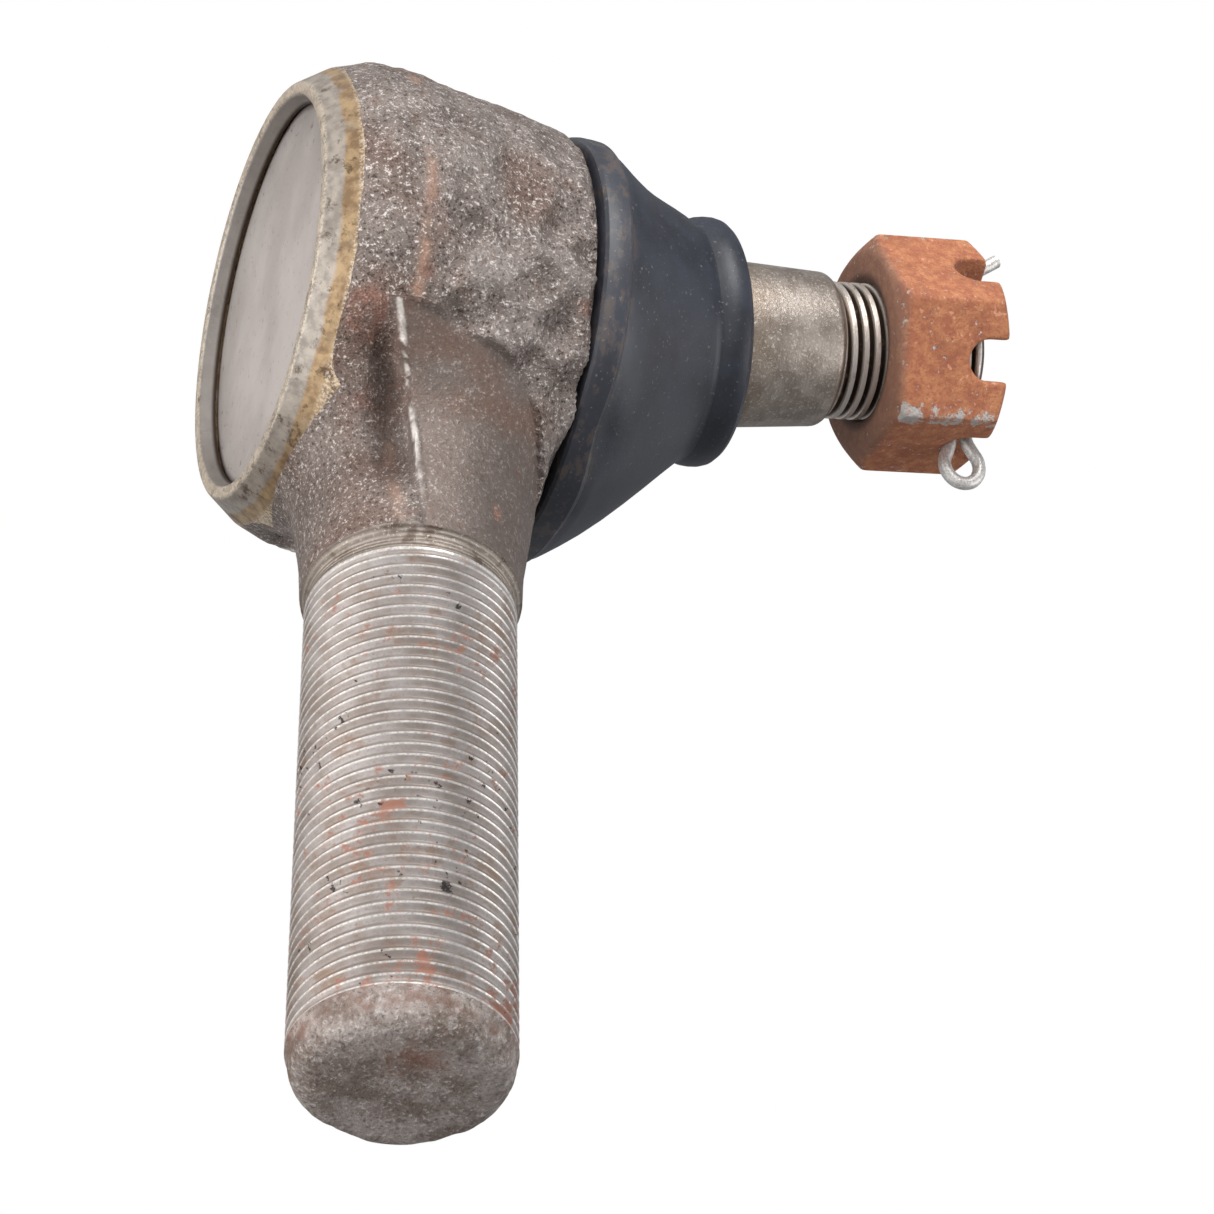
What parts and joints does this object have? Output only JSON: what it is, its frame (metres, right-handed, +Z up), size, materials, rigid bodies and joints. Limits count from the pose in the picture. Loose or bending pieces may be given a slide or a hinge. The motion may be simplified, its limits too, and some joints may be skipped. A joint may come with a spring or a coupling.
{
  "type": "tie rod end",
  "caption": "Steering linkage ball joint: forged socket with threaded shank, swivelling taper stud under a rubber dust boot, slotted nut and cotter pin.",
  "frame": {"origin": "centre of the rolled rim's flat underside, on the socket axis, the plane the part stands on", "axes": "+Z up the socket axis through the ball centre, +X along the shank (which dips 4.2 degrees below it), +Y completes the right-handed frame"},
  "size_m": [0.1329, 0.0546, 0.09],
  "materials": {
    "forged_steel": "forged scale, satin, lightly rusted",
    "cap_steel": "satin, faint scratches",
    "seal_rubber": "matte",
    "spring_steel": "blued",
    "lower_seat_plastic": "natural",
    "upper_seat_steel": "sintered, oiled",
    "bearing_steel": "ground",
    "stud_steel": "machined, lightly tarnished",
    "nut_steel": "surface rust, worn edges",
    "pin_steel": "bright drawn wire",
    "boot_rubber": "satin black",
    "ring_steel": "plain"
  },
  "bodies": {
    "housing": {"forged_housing": "forged_steel", "end_cap": "cap_steel", "cap_seal": "seal_rubber", "preload_washer": "spring_steel"},
    "bearing_seats": {"lower_seat": "lower_seat_plastic", "upper_seat": "upper_seat_steel", "dust_boot": "boot_rubber", "boot_base_ring": "ring_steel"},
    "half_ball": {"half_ball_bearing": "bearing_steel", "boot_lip_ring": "ring_steel"},
    "stud": {"ball_stud": "stud_steel", "slotted_nut": "nut_steel", "cotter_pin": "pin_steel"}
  },
  "joints": [
    {"name": "swing_direction", "type": "hinge", "parent": "housing", "child": "bearing_seats", "pos_m": [0, 0, 0.0186], "axis": [0, 0, 1], "continuous": true},
    {"name": "stud_swing", "type": "hinge", "parent": "bearing_seats", "child": "half_ball", "pos_m": [0, 0, 0.0186], "axis": [0.7071, -0.7071, 0], "range_deg": [-28.5, 11.5], "deforming": ["dust_boot"]},
    {"name": "stud_spin", "type": "hinge", "parent": "half_ball", "child": "stud", "pos_m": [0, 0, 0.0186], "axis": [-0.1045, -0.1045, 0.989], "continuous": true}
  ]
}
